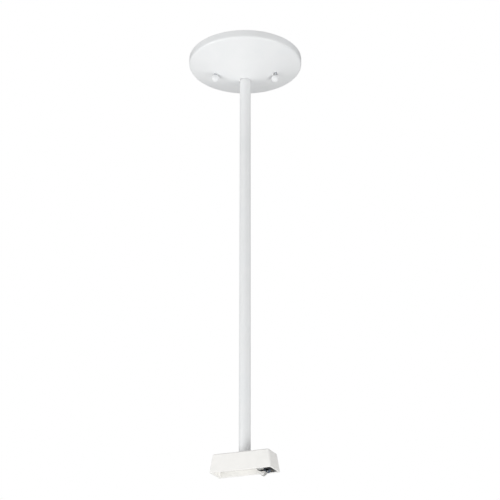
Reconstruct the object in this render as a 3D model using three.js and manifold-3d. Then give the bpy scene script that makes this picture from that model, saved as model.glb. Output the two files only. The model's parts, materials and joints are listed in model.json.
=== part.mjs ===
// Ceiling pendant stem for lighting track: a domed canopy, a straight tube and an open-bottomed connector.
// Millimetres, +Z up. The origin is the centre of the canopy's rim, on the ceiling plane, and the stem
// hangs down the Z axis. The connector is long along X and has its electrical contacts towards +X.
// Screw threads are plain cylinders. Pieces that touch keep the gap SEAT between them.

import * as THREE from "three";
import { mergeVertices } from "three/addons/utils/BufferGeometryUtils.js";
import Module from "manifold-3d";

const wasm = await Module();
wasm.setup();

// ---------------------------------------------------------------- driving dimensions

const SEAT = 0.3; // between two faces that touch

// Canopy: a pressed steel dome with a short upright wall and a lip turned in at the ceiling
const CANOPY_R = 63;
const CANOPY_WALL = 9; // height of the upright wall, up to where the dome would meet it sharp
const NOSE_R = 55; // the dome is two arcs: a nose round the axis and a flatter flank
const NOSE_ANGLE = THREE.MathUtils.degToRad(18);
const FLANK_R = 800;
const SHEET = 1;
const SHOULDER_R = 3;
const LIP = 2.5;
const CANOPY_HOLE_R = 6.9;
const CANOPY_HOLE_AT = [-0.5, 0.35]; // the hole is a little off the canopy's centre
const SLOT_WIDTH = 6;
const SLOT_BACK = 2.6; // from the stud's axis to the slot's end behind it
const SLOT_REACH = 5.8; // from the stud's axis to the slot's far end
const CANOPY_TURN = THREE.MathUtils.degToRad(22.5); // the two studs' line, from the connector's long axis

// Ceiling hardware
const STRAP_THICK = 1.6;
const STRAP_WIDTH = 16;
const BOX_STRAP_LENGTH = 104;
const BOX_SCREW_NEAR = 35; // the strap's slots take box screws at 70 to 89 mm centres
const BOX_SCREW_FAR = 44.5;
const BOX_SLOT_WIDTH = 5;
const CANOPY_STRAP_LENGTH = 82;
const STUD_REACH = 33.5;
const STUD_R = 2.05;
const STUD_END = -26.2;
const STUD_NUT_FLATS = 8.7;
const STUD_NUT_HEIGHT = 3;
const BALL_R = 4.4;
const BALL_FLAT_R = 2.8; // radius of the flat that faces the ceiling
const GROUND_SCREW_Y = -20;

// Threaded nipples and their nuts
const NIPPLE_R = 5;
const NIPPLE_BORE_R = 3.9;
const NIPPLE_GRIP = 12; // length screwed into the stem
const NUT_FLATS = 14.3;
const NUT_HEIGHT = 3.3;
const LOCK_NUT_HEIGHT = 2.9;
const WASHER_R = 8.4;

// Stem
const STEM_R = 6;
const STEM_BORE_R = NIPPLE_R + SEAT;
const STEM_TOP = -14;
const DROP = 457.2; // from the ceiling to the connector's top

// Wires
const LEAD_R = 1.15;
const LEAD_RING_R = 1.72; // the three wires' axes lie on this circle
const LEAD_ANGLES = { line: -120, ground: 0, neutral: 120 };
const LEAD_SPLIT = -DROP - 2.6; // where the stem's wires end and the connector's tails begin

// Connector housing
const BLOCK_LENGTH = 67;
const BLOCK_WIDTH = 25.5;
const BLOCK_HEIGHT = 19;
const END_DRAFT = 3; // how far each end wall leans in over the height
const SIDE_DRAFT = 0.9;
const BLOCK_CORNER_R = 1.8;
const BLOCK_EDGE_R = 1.2;
const BLOCK_WALL = 1.8;
const BLOCK_ROOF = 2;
const END_LEDGE = 1.5; // the step that the barrier plate rests on at each end
const RECESS_DEPTH = 6.2;
const PLATE_THICK = 1.5;
const BOSS_R = 2.6;
const LIVE_SCREW_X = 12.2;
const DEAD_SCREW_X = -25;
const STOP_LUG_X = 8.5; // the swivel's stop starts this far from the axis
const STOP_LUG_WIDTH = 2.4;
const STOP_TAB_REACH = 9.6;
const STOP_TAB_WIDTH = 3;

// Contact carrier and the three leaf springs that it holds
const CARRIER_X = [14.9, 30.2];
const CARRIER_HALF_WIDTH = 10.2;
const CARRIER_LIVE_CORNER = [27, 4]; // where the cut across the corner beside the line leaf starts and ends
const CARRIER_FREE_CORNER = [20, 1.5]; // and the one under the neutral leaf's free end
const CARRIER_SHY = 0.6; // the carrier's face stays this far inside the housing's rim
const POCKET_DEPTH = 2.2;
const LEAF_THICK = 0.5;
const FINGER_GAP = 0.9;
// Each leaf is riveted at its root and runs towards +X or -X. Its bow lists distances along the leaf
// from the rivet, each with how far the leaf hangs there.
const LEAVES = {
  line: {
    root: [25.4, -7.1],
    towards: -1,
    width: 5.6,
    bow: [[-1.3, 0], [1.3, 0], [2.4, 1], [3.6, 1.6], [6.4, 1.9], [8.8, 1.7], [10.6, 1]],
  },
  neutral: {
    root: [26.2, 6.9],
    towards: -1,
    width: 4,
    bow: [[-1.3, 0], [1.4, 0], [4, 1.7], [7.2, 4.6], [8.9, 5.4], [10.4, 5], [11.6, 3.7]],
  },
  ground: {
    root: [19.2, -0.2],
    towards: 1,
    width: 4.6,
    bow: [[-1.3, 0], [1.5, 0], [3.2, 2], [4.8, 4.2], [5.8, 4.5], [6.8, 4.1], [8.6, 1.8]],
  },
};

// Heights that follow from them
const BOX_STRAP_UNDER = -STRAP_THICK;
const CANOPY_STRAP_TOP = BOX_STRAP_UNDER - SEAT;
const CANOPY_STRAP_UNDER = CANOPY_STRAP_TOP - STRAP_THICK;
const WASHER_TOP = CANOPY_STRAP_UNDER - SEAT;
const WASHER_UNDER = WASHER_TOP - 0.8;
const BLOCK_TOP = -DROP;
const BLOCK_RIM = BLOCK_TOP - BLOCK_HEIGHT;
const ROOF_UNDER = BLOCK_TOP - BLOCK_ROOF;
const PLATE_UNDER = BLOCK_RIM + RECESS_DEPTH;
const PLATE_TOP = PLATE_UNDER + PLATE_THICK;
const LEDGE_Z = PLATE_TOP + SEAT;
const CARRIER_TOP = PLATE_UNDER - SEAT;
const CARRIER_FACE = BLOCK_RIM + CARRIER_SHY;
const POCKET_ROOF = CARRIER_FACE + POCKET_DEPTH;
const LEAF_Z = POCKET_ROOF - SEAT - LEAF_THICK / 2;

// ---------------------------------------------------------------- materials

const enamel = { color: 0xeef0f2, roughness: 0.35, metalness: 0 };
const whitePlastic = { color: 0xf3f3f1, roughness: 0.45, metalness: 0 };
const zinc = { color: 0xb9bcc0, roughness: 0.4, metalness: 1 };
const darkPlastic = { color: 0x1d1f22, roughness: 0.55, metalness: 0 };
const fibre = { color: 0xd9d8d2, roughness: 0.8, metalness: 0 };
const brightMetal = { color: 0xcfd0ce, roughness: 0.25, metalness: 1 };
const bluedSteel = { color: 0x444a55, roughness: 0.35, metalness: 1 };
const brass = { color: 0xc9a552, roughness: 0.35, metalness: 1 };
const blackWire = { color: 0x202020, roughness: 0.6, metalness: 0 };
const whiteWire = { color: 0xe6e6e2, roughness: 0.6, metalness: 0 };
const greenWire = { color: 0x2f7d46, roughness: 0.6, metalness: 0 };

// ---------------------------------------------------------------- making and joining solids

function solid(geometry) {
  const bare = geometry.clone();
  bare.deleteAttribute("normal");
  bare.deleteAttribute("uv");
  const merged = mergeVertices(bare, 1e-4);
  return new wasm.Manifold(
    new wasm.Mesh({
      numProp: 3,
      vertProperties: new Float32Array(merged.attributes.position.array),
      triVerts: new Uint32Array(merged.index.array),
    }),
  );
}

function geometryOf(made) {
  const mesh = made.getMesh();
  return new THREE.BufferGeometry()
    .setAttribute("position", new THREE.BufferAttribute(mesh.vertProperties, 3))
    .setIndex(new THREE.BufferAttribute(mesh.triVerts, 1));
}

const cut = (base, ...tools) =>
  geometryOf(tools.reduce((left, tool) => left.subtract(solid(tool)), solid(base)));

const join = (...pieces) =>
  geometryOf(pieces.slice(1).reduce((sum, piece) => sum.add(solid(piece)), solid(pieces[0])));

// ---------------------------------------------------------------- basic shapes, standing along Z

// Turned about Z from a profile of [radius, height] points.
function turned(profile, segments = 32) {
  const points = profile.map(([r, z]) => new THREE.Vector2(r, z));
  return new THREE.LatheGeometry(points, segments).rotateX(Math.PI / 2);
}

function rod(radius, low, high, segments = 32) {
  return turned([[0, low], [radius, low], [radius, high], [0, high]], segments);
}

function ring(outer, inner, low, high, segments = 32) {
  return turned([[inner, low], [outer, low], [outer, high], [inner, high], [inner, low]], segments);
}

function prism(shape, low, high, curveSegments = 8) {
  const options = { depth: high - low, bevelEnabled: false, curveSegments };
  return new THREE.ExtrudeGeometry(shape, options).translate(0, 0, low);
}

function box([x0, x1], [y0, y1], [z0, z1]) {
  return new THREE.BoxGeometry(x1 - x0, y1 - y0, z1 - z0).translate(
    (x0 + x1) / 2,
    (y0 + y1) / 2,
    (z0 + z1) / 2,
  );
}

// A bar with round ends, centred on Z and long along X.
function roundBar(length, width, low, high) {
  const straight = length / 2 - width / 2;
  const outline = new THREE.Shape()
    .moveTo(-straight, -width / 2)
    .lineTo(straight, -width / 2)
    .absarc(straight, 0, width / 2, -Math.PI / 2, Math.PI / 2)
    .lineTo(-straight, width / 2)
    .absarc(-straight, 0, width / 2, Math.PI / 2, Math.PI * 1.5);
  return prism(outline, low, high);
}

// A nut: a hexagon across the given flats, with a clearance hole.
function hexNut(flats, holeR, low, high) {
  const corner = flats / Math.sqrt(3);
  return cut(rod(corner, low, high, 6), rod(holeR, low - 1, high + 1));
}

// Points of a rectangle with round corners, anticlockwise.
function roundedRectangle(halfX, halfY, radius, steps = 4) {
  const points = [];
  for (let corner = 0; corner < 4; corner++) {
    const middle = (corner + 0.5) * (Math.PI / 2);
    const centreX = Math.sign(Math.cos(middle)) * (halfX - radius);
    const centreY = Math.sign(Math.sin(middle)) * (halfY - radius);
    for (let i = 0; i <= steps; i++) {
      const angle = (corner + i / steps) * (Math.PI / 2);
      points.push([centreX + radius * Math.cos(angle), centreY + radius * Math.sin(angle)]);
    }
  }
  return points;
}

// A solid through level rings of points, from the lowest to the highest, closed with a fan at each end.
function loft(levels) {
  const count = levels[0].ring.length;
  const positions = levels.flatMap(({ ring: points, z }) => points.flatMap(([x, y]) => [x, y, z]));
  const index = [];
  for (let level = 0; level + 1 < levels.length; level++) {
    for (let i = 0; i < count; i++) {
      const a = level * count + i;
      const b = level * count + ((i + 1) % count);
      index.push(a, b, b + count, a, b + count, a + count);
    }
  }
  const top = (levels.length - 1) * count;
  for (let i = 1; i + 1 < count; i++) index.push(0, i + 1, i, top, top + i, top + i + 1);
  return new THREE.BufferGeometry()
    .setAttribute("position", new THREE.Float32BufferAttribute(positions, 3))
    .setIndex(index);
}

// The housing's section at a height, drawn in by insets from its drafted side and end faces.
function blockSection(z, inset, radius, endInset = inset) {
  const rise = (z - BLOCK_RIM) / BLOCK_HEIGHT;
  const halfX = BLOCK_LENGTH / 2 - END_DRAFT * rise - endInset;
  const halfY = BLOCK_WIDTH / 2 - SIDE_DRAFT * rise - inset;
  return { ring: roundedRectangle(halfX, halfY, radius), z };
}

function blockSlab(low, high, inset, radius, endInset = inset) {
  return loft([low, high].map((z) => blockSection(z, inset, radius, endInset)));
}

// A wire along a smooth curve through points.
function wire(points, radius, steps, sides = 8) {
  const path = new THREE.CatmullRomCurve3(points.map((p) => new THREE.Vector3(...p)));
  const section = new THREE.Shape();
  for (let i = 0; i < sides; i++) {
    const angle = (i / sides) * 2 * Math.PI;
    const move = i ? "lineTo" : "moveTo";
    section[move](radius * Math.cos(angle), radius * Math.sin(angle));
  }
  return new THREE.ExtrudeGeometry(section, { extrudePath: path, steps, bevelEnabled: false });
}

// A strip of sheet bent along a curve of [x, z] points, and as wide as stated along Y.
function bentStrip(points, thickness, width, steps = 14) {
  const curve = new THREE.SplineCurve(points.map(([x, z]) => new THREE.Vector2(x, z)));
  const side = (offset) =>
    Array.from({ length: steps + 1 }, (_, i) => {
      const along = curve.getTangent(i / steps);
      const at = curve.getPoint(i / steps);
      return new THREE.Vector2(at.x - along.y * offset, at.y + along.x * offset);
    });
  const outline = new THREE.Shape([...side(-thickness / 2), ...side(thickness / 2).reverse()]);
  return prism(outline, -width / 2, width / 2).rotateX(Math.PI / 2);
}

// ---------------------------------------------------------------- the assembly

const assembly = new THREE.Group();
const ceilingGroup = new THREE.Group(); // what lines up with the two canopy studs
ceilingGroup.rotation.z = CANOPY_TURN;
assembly.add(ceilingGroup);

function place(name, geometry, finish, parent = assembly) {
  const mesh = new THREE.Mesh(geometry, new THREE.MeshStandardMaterial(finish));
  mesh.name = name;
  parent.add(mesh);
  return mesh;
}

// ---------------------------------------------------------------- canopy

// The flank's centre lies on the line through the nose's centre and the place where the two arcs meet.
const NOSE_MEET = NOSE_R * Math.sin(NOSE_ANGLE);
const FLANK_CENTRE_R = -(FLANK_R - NOSE_R) * Math.sin(NOSE_ANGLE);
const FLANK_CENTRE_Z = -CANOPY_WALL + Math.sqrt(FLANK_R ** 2 - (CANOPY_R - FLANK_CENTRE_R) ** 2);
const NOSE_CENTRE_Z = FLANK_CENTRE_Z - (FLANK_R - NOSE_R) * Math.cos(NOSE_ANGLE);
const CANOPY_DEPTH = NOSE_R - NOSE_CENTRE_Z;

// The height of the dome's outer face at a distance from the axis.
function domeZ(r) {
  if (r < NOSE_MEET) return NOSE_CENTRE_Z - Math.sqrt(NOSE_R ** 2 - r ** 2);
  return FLANK_CENTRE_Z - Math.sqrt(FLANK_R ** 2 - (r - FLANK_CENTRE_R) ** 2);
}

// Points on an arc after its first one, with angles counted from straight down.
function arc(centreR, centreZ, radius, from, to, steps) {
  return Array.from({ length: steps }, (_, i) => {
    const angle = from + ((to - from) * (i + 1)) / steps;
    return [centreR + radius * Math.sin(angle), centreZ - radius * Math.cos(angle)];
  });
}

// One face of the sheet, an inset in from the outside: from the apex, round the shoulder, up the wall.
function canopyFace(inset, wallTop) {
  const shoulderX = CANOPY_R - SHOULDER_R;
  const reach = shoulderX - FLANK_CENTRE_R;
  const shoulderZ = FLANK_CENTRE_Z - Math.sqrt((FLANK_R - SHOULDER_R) ** 2 - reach ** 2);
  const meet = Math.atan2(reach, FLANK_CENTRE_Z - shoulderZ);
  return [
    [0, NOSE_CENTRE_Z - NOSE_R + inset],
    ...arc(0, NOSE_CENTRE_Z, NOSE_R - inset, 0, NOSE_ANGLE, 4),
    ...arc(FLANK_CENTRE_R, FLANK_CENTRE_Z, FLANK_R - inset, NOSE_ANGLE, meet, 3),
    ...arc(shoulderX, shoulderZ, SHOULDER_R - inset, meet, Math.PI / 2, 4),
    [CANOPY_R - inset, wallTop],
  ];
}

function canopyBody() {
  const outer = canopyFace(0, 0);
  const inner = canopyFace(SHEET, -SHEET);
  const lip = [[CANOPY_R - LIP, 0], [CANOPY_R - LIP, -SHEET]];
  const shell = turned([...outer, ...lip, ...inner.reverse()], 64);
  const hole = rod(CANOPY_HOLE_R, -CANOPY_DEPTH - 5, -10).translate(...CANOPY_HOLE_AT, 0);
  // Each slot runs on past its stud in the same turning sense, so the canopy can be twisted home.
  const slots = [-1, 1].map((side) => {
    const length = SLOT_BACK + SLOT_REACH;
    return roundBar(length, SLOT_WIDTH, -CANOPY_DEPTH - 5, -10)
      .rotateZ(Math.PI / 2)
      .translate(side * STUD_REACH, (side * (SLOT_BACK - SLOT_REACH)) / 2, 0);
  });
  return cut(shell, hole, ...slots);
}

place("canopy", canopyBody(), enamel, ceilingGroup);

// ---------------------------------------------------------------- studs, their nuts and the ball nuts

// A ball with a flat on top and a blind hole for the stud. It seats in the slot, against its inner edge.
function ballNut() {
  const edgeZ = domeZ(STUD_REACH - SLOT_WIDTH / 2);
  const centre = edgeZ - Math.sqrt((BALL_R + SEAT) ** 2 - (SLOT_WIDTH / 2) ** 2);
  const start = Math.asin(BALL_FLAT_R / BALL_R);
  const flat = centre + BALL_R * Math.cos(start);
  const steps = 12;
  const profile = [[0, centre - BALL_R]];
  for (let i = 1; i <= steps; i++) {
    const angle = Math.PI - (Math.PI - start) * (i / steps);
    profile.push([BALL_R * Math.sin(angle), centre + BALL_R * Math.cos(angle)]);
  }
  profile.push([0, flat]);
  return cut(turned(profile, 24), rod(STUD_R + SEAT, STUD_END - SEAT, flat + 1, 16));
}

for (const [side, word] of [[-1, "left"], [1, "right"]]) {
  const nutTop = CANOPY_STRAP_UNDER - SEAT;
  const pieces = [
    ["canopy_stud_" + word, rod(STUD_R, STUD_END, -0.4, 16), zinc],
    [
      "stud_lock_nut_" + word,
      hexNut(STUD_NUT_FLATS, STUD_R + SEAT, nutTop - STUD_NUT_HEIGHT, nutTop),
      zinc,
    ],
    ["ball_nut_" + word, ballNut(), enamel],
  ];
  for (const [name, geometry, finish] of pieces) {
    place(name, geometry, finish, ceilingGroup).position.x = side * STUD_REACH;
  }
}

// ---------------------------------------------------------------- straps and the ceiling end of the stem

function boxStrap() {
  const middle = (BOX_SCREW_NEAR + BOX_SCREW_FAR) / 2;
  const length = BOX_SCREW_FAR - BOX_SCREW_NEAR + BOX_SLOT_WIDTH;
  const slots = [-1, 1].map((side) =>
    roundBar(length, BOX_SLOT_WIDTH, BOX_STRAP_UNDER - 1, 1).translate(side * middle, 0, 0),
  );
  return cut(
    roundBar(BOX_STRAP_LENGTH, STRAP_WIDTH, BOX_STRAP_UNDER, 0),
    rod(NIPPLE_R + SEAT, BOX_STRAP_UNDER - 1, 1),
    rod(2.2, BOX_STRAP_UNDER - 1, 1, 16).translate(GROUND_SCREW_Y, 0, 0),
    ...slots,
  ).rotateZ(Math.PI / 2);
}

function canopyStrap() {
  const holes = [-1, 1].map((side) =>
    rod(STUD_R + SEAT, CANOPY_STRAP_UNDER - 1, 0, 16).translate(side * STUD_REACH, 0, 0),
  );
  return cut(
    roundBar(CANOPY_STRAP_LENGTH, STRAP_WIDTH, CANOPY_STRAP_UNDER, CANOPY_STRAP_TOP),
    rod(NIPPLE_R + SEAT, CANOPY_STRAP_UNDER - 1, 0),
    ...holes,
  );
}

// A lock washer with a row of teeth round its rim.
function toothedWasher(low, high) {
  const teeth = 14;
  const outline = new THREE.Shape();
  for (let i = 0; i < teeth * 4; i++) {
    const radius = i % 4 < 2 ? WASHER_R : WASHER_R - 1.2;
    const angle = (i / (teeth * 4)) * 2 * Math.PI;
    outline[i ? "lineTo" : "moveTo"](radius * Math.cos(angle), radius * Math.sin(angle));
  }
  return cut(prism(outline, low, high), rod(NIPPLE_R + SEAT, low - 1, high + 1));
}

// A hollow threaded nipple.
const nipple = (low, high) => ring(NIPPLE_R, NIPPLE_BORE_R, low, high);

// A snap-in bushing that keeps the nipple's edge off the wires.
function wireBushing() {
  const flangeTop = -SEAT;
  const flangeUnder = flangeTop - 1;
  const bore = 3.1;
  return turned([
    [bore, -4.5],
    [3.6, -4.5],
    [3.6, flangeUnder],
    [4.8, flangeUnder],
    [4.8, flangeTop],
    [bore, flangeTop],
    [bore, -4.5],
  ]);
}

function groundScrew() {
  const headTop = BOX_STRAP_UNDER - SEAT;
  return cut(
    join(
      rod(1.9, headTop - 1, -0.4, 16),
      rod(4.3, headTop - 0.8, headTop, 24),
      rod(4.0, headTop - 3.2, headTop - 0.5, 6),
    ),
    box([-3, 3], [-0.5, 0.5], [headTop - 4, headTop - 2.3]),
  ).translate(0, GROUND_SCREW_Y, 0);
}

place("box_strap", boxStrap(), zinc);
place("canopy_strap", canopyStrap(), zinc, ceilingGroup);
place("strap_lock_washer", toothedWasher(WASHER_UNDER, WASHER_TOP), zinc);
const strapNutTop = WASHER_UNDER - SEAT;
const strapNut = hexNut(NUT_FLATS, NIPPLE_R + SEAT, strapNutTop - NUT_HEIGHT, strapNutTop);
place("strap_nut", strapNut, zinc);
const jamNutUnder = STEM_TOP + SEAT;
const jamNut = hexNut(NUT_FLATS, NIPPLE_R + SEAT, jamNutUnder, jamNutUnder + NUT_HEIGHT);
place("stem_jam_nut", jamNut.rotateZ(0.3), zinc);
place("top_nipple", nipple(STEM_TOP - NIPPLE_GRIP, -1.7), zinc);
place("wire_bushing", wireBushing(), whitePlastic);
place("ground_screw", groundScrew(), greenWire);

// ---------------------------------------------------------------- stem and the wires in it

place("stem", ring(STEM_R, STEM_BORE_R, BLOCK_TOP + SEAT, STEM_TOP, 40), enamel);

const leadFinishes = { line: blackWire, neutral: whiteWire, ground: greenWire };

// Where a wire's axis crosses the bore.
function leadSpot(which) {
  const angle = THREE.MathUtils.degToRad(LEAD_ANGLES[which]);
  return [LEAD_RING_R * Math.cos(angle), LEAD_RING_R * Math.sin(angle)];
}

for (const which of Object.keys(LEAD_ANGLES)) {
  const run = rod(LEAD_R, LEAD_SPLIT, -0.6, 12).translate(...leadSpot(which), 0);
  place(which + "_lead", run, leadFinishes[which]);
}

// ---------------------------------------------------------------- the swivel at the connector

const frictionTop = ROOF_UNDER - SEAT;
const frictionUnder = frictionTop - 0.6;
const stopTop = frictionUnder - SEAT;
const stopUnder = stopTop - 0.8;
const lockNutTop = stopUnder - SEAT;
const lockNutUnder = lockNutTop - LOCK_NUT_HEIGHT;
const nippleEnd = lockNutUnder - 0.5;

// A washer keyed to the nipple, whose tab meets the housing's stop lug and so limits the swivel.
function stopWasher() {
  const disc = rod(7.8, stopUnder, stopTop);
  const tabSide = STOP_TAB_WIDTH / 2;
  const tab = box([-STOP_TAB_REACH, -6], [-tabSide, tabSide], [stopUnder, stopTop]);
  return cut(join(disc, tab), rod(NIPPLE_R + SEAT, stopUnder - 1, stopTop + 1));
}

place("bottom_nipple", nipple(nippleEnd, BLOCK_TOP + NIPPLE_GRIP), zinc);
place("friction_washer", ring(8, NIPPLE_R + SEAT, frictionUnder, frictionTop), fibre);
place("stop_washer", stopWasher(), zinc);
place("bottom_lock_nut", hexNut(13.5, NIPPLE_R + SEAT, lockNutUnder, lockNutTop), zinc);

// ---------------------------------------------------------------- connector housing

// Outer body: drafted walls with the top edge rounded over.
function blockBody() {
  const levels = [blockSection(BLOCK_RIM, 0, BLOCK_CORNER_R)];
  const steps = 4;
  for (let i = 0; i <= steps; i++) {
    const angle = (i / steps) * (Math.PI / 2);
    const z = BLOCK_TOP - BLOCK_EDGE_R * (1 - Math.sin(angle));
    levels.push(blockSection(z, BLOCK_EDGE_R * (1 - Math.cos(angle)), BLOCK_CORNER_R));
  }
  return loft(levels);
}

function housing() {
  const recess = blockSlab(BLOCK_RIM - 1, LEDGE_Z, BLOCK_WALL, 0.8);
  const wiring = blockSlab(LEDGE_Z - 1, ROOF_UNDER, BLOCK_WALL, 0.8, BLOCK_WALL + END_LEDGE);
  const boss = (x) => rod(BOSS_R, LEDGE_Z, ROOF_UNDER + 1, 20).translate(x, 0, 0);
  const pilot = (x) => rod(1.3, LEDGE_Z - 1, LEDGE_Z + 5.2, 12).translate(x, 0, 0);
  const lugSide = STOP_LUG_WIDTH / 2;
  const lugHeights = [stopUnder - 0.4, ROOF_UNDER + 1];
  const stopLug = box([STOP_LUG_X, LIVE_SCREW_X], [-lugSide, lugSide], lugHeights);
  return cut(
    join(cut(blockBody(), recess, wiring), boss(LIVE_SCREW_X), boss(DEAD_SCREW_X), stopLug),
    pilot(LIVE_SCREW_X),
    pilot(DEAD_SCREW_X),
    rod(NIPPLE_R + SEAT, ROOF_UNDER - 1, BLOCK_TOP + 1),
  );
}

place("connector_housing", housing(), whitePlastic);

// ---------------------------------------------------------------- barrier plate, carrier and screws

const rivetHoles = (low, high) =>
  Object.values(LEAVES).map(({ root: [x, y] }) => rod(1.1, low, high, 12).translate(x, y, 0));

const screwHole = (x, low, high) => rod(1.3, low, high, 12).translate(x, 0, 0);

function barrierPlate() {
  return cut(
    blockSlab(PLATE_UNDER, PLATE_TOP, BLOCK_WALL + SEAT, 0.8),
    screwHole(LIVE_SCREW_X, PLATE_UNDER - 1, PLATE_TOP + 1),
    screwHole(DEAD_SCREW_X, PLATE_UNDER - 1, PLATE_TOP + 1),
    ...rivetHoles(PLATE_UNDER - 1, PLATE_TOP + 1),
  );
}

// The pocket that a leaf lies in and bows out of.
function leafPocket({ root: [x, y], towards, width, bow }) {
  const half = width / 2 + 0.5;
  const ends = [x - towards * 1.9, x + towards * (bow.at(-1)[0] + 0.6)];
  const along = [Math.min(...ends), Math.max(...ends)];
  return box(along, [y - half, y + half], [CARRIER_FACE - 1, POCKET_ROOF]);
}

// A flat block with two opposite corners cut off.
function contactCarrier() {
  const [start, end] = CARRIER_X;
  const half = CARRIER_HALF_WIDTH;
  const outline = new THREE.Shape()
    .moveTo(start, -half)
    .lineTo(CARRIER_LIVE_CORNER[0], -half)
    .lineTo(end, CARRIER_LIVE_CORNER[1])
    .lineTo(end, half)
    .lineTo(CARRIER_FREE_CORNER[0], half)
    .lineTo(start, CARRIER_FREE_CORNER[1]);
  return cut(
    prism(outline, CARRIER_FACE, CARRIER_TOP),
    ...Object.values(LEAVES).map(leafPocket),
    ...rivetHoles(CARRIER_FACE - 1, CARRIER_TOP + 1),
  );
}

// A pan-head screw driven up into a boss, with a driver slot.
function panScrew(headTop, end) {
  return cut(
    turned(
      [
        [0, headTop - 1.6],
        [1.5, headTop - 1.6],
        [2.4, headTop - 1],
        [2.4, headTop],
        [1, headTop],
        [1, end],
        [0, end],
      ],
      20,
    ),
    box([-3, 3], [-0.35, 0.35], [headTop - 3, headTop - 0.9]),
  );
}

const screwEnd = LEDGE_Z + 4.8;
place("barrier_plate", barrierPlate(), fibre);
place("contact_carrier", contactCarrier(), darkPlastic);
for (const [name, x] of [["plate_screw_live", LIVE_SCREW_X], ["plate_screw_dead", DEAD_SCREW_X]]) {
  place(name, panScrew(PLATE_UNDER - SEAT, screwEnd), zinc).position.x = x;
}

// ---------------------------------------------------------------- contacts

// A leaf spring that lies flat at its rivet and then bows down through the carrier's face.
function contactLeaf({ root: [x, y], towards, width, bow }) {
  const profile = bow.map(([along, hang]) => [x + towards * along, LEAF_Z - hang]);
  if (towards < 0) profile.reverse();
  const strip = bentStrip(profile, LEAF_THICK, width).translate(0, y, 0);
  return cut(strip, rod(1.1, LEAF_Z - 1, LEAF_Z + 1, 12).translate(x, y, 0));
}

// Splits a leaf into two fingers from its bow to its free end.
function split(leaf, { root: [x, y], towards }) {
  const ends = [x + towards * 4.5, x + towards * 13];
  const along = [Math.min(...ends), Math.max(...ends)];
  return cut(leaf, box(along, [y - FINGER_GAP / 2, y + FINGER_GAP / 2], [LEAF_Z - 8, LEAF_Z + 1]));
}

// A rivet from the leaf up through carrier and plate to the wiring space.
function rivet({ root: [x, y] }) {
  const leafUnder = LEAF_Z - LEAF_THICK / 2 - 0.1;
  const top = PLATE_TOP + SEAT;
  return turned(
    [
      [0, leafUnder - 0.8],
      [0.9, leafUnder - 0.8],
      [1.4, leafUnder - 0.5],
      [1.4, leafUnder - 0.15],
      [0.8, leafUnder - 0.15],
      [0.8, top],
      [1.5, top],
      [1.5, top + 0.6],
      [1.1, top + 0.9],
      [0, top + 0.9],
    ],
    12,
  ).translate(x, y, 0);
}

place("line_contact", contactLeaf(LEAVES.line), brightMetal);
place("neutral_contact", split(contactLeaf(LEAVES.neutral), LEAVES.neutral), brightMetal);
place("ground_contact", contactLeaf(LEAVES.ground), bluedSteel);
for (const [which, leaf] of Object.entries(LEAVES)) place(which + "_rivet", rivet(leaf), brass);

// ---------------------------------------------------------------- wire tails in the connector

const tailZ = PLATE_TOP + LEAD_R + SEAT;

// Points of a tail: down out of the nipple, over in a bend, then level through the listed places.
function tailPoints(which, places) {
  const [x, y] = leadSpot(which);
  const [nextX, nextY] = places[0];
  const bend = [x + (nextX - x) * 0.25, y + (nextY - y) * 0.25, tailZ + 0.9];
  return [
    [x, y, LEAD_SPLIT - SEAT],
    [x, y, LEAD_SPLIT - 2.4],
    [x, y, tailZ + 3],
    bend,
    ...places.map(([px, py]) => [px, py, tailZ]),
  ];
}

const tailPlaces = {
  line: [[1.4, -4.2], [6, -6.8], [12, -7.7], [18, -7.6], [23.3, -7.1]],
  neutral: [[1.4, 4.2], [6, 7.2], [12, 8.1], [19, 8], [24, 7.1]],
  ground: [[5.2, 1.7], [8.6, 4.2], [12.6, 4.9], [17, 2.4]],
};

for (const [which, places] of Object.entries(tailPlaces)) {
  place(which + "_tail", wire(tailPoints(which, places), LEAD_R, 24), leadFinishes[which]);
}

export default assembly;
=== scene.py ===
"""The finished look of a ceiling pendant stem for lighting track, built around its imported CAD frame.

Metres, in the frame of the CAD part: +Z up, the origin at the centre of the canopy's rim on the ceiling
plane, and the connector long along X. Each finished piece stands for the CAD node that it is named after,
except the copper cores of the wires, which are added, and the floor.
"""

import json
import math

import bmesh
import bpy
from mathutils import Matrix, Vector
from mathutils.geometry import delaunay_2d_cdt


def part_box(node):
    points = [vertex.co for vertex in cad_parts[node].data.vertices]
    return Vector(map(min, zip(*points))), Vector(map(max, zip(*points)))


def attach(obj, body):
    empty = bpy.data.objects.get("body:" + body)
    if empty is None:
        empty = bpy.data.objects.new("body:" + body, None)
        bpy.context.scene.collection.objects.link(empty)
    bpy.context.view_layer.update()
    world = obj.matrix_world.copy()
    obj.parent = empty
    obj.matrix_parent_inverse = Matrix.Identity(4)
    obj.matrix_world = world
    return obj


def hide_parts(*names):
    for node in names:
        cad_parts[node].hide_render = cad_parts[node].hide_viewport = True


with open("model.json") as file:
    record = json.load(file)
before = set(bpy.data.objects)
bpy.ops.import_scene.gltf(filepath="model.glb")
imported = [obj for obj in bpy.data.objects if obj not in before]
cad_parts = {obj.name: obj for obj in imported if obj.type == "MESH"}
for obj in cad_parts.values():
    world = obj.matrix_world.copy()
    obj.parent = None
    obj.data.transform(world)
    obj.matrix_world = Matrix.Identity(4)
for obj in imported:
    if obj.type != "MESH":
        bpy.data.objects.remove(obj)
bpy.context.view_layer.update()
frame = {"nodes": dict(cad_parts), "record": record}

MM = 0.001
RECORD = frame["record"]
BODY_OF = {node: body for body, nodes in RECORD["behaviour"]["bodies"].items() for node in nodes}
SLOT_OF = {part["node"]: part["material_slot"] for part in RECORD["subparts"]}


# ---------------------------------------- camera and light

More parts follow.
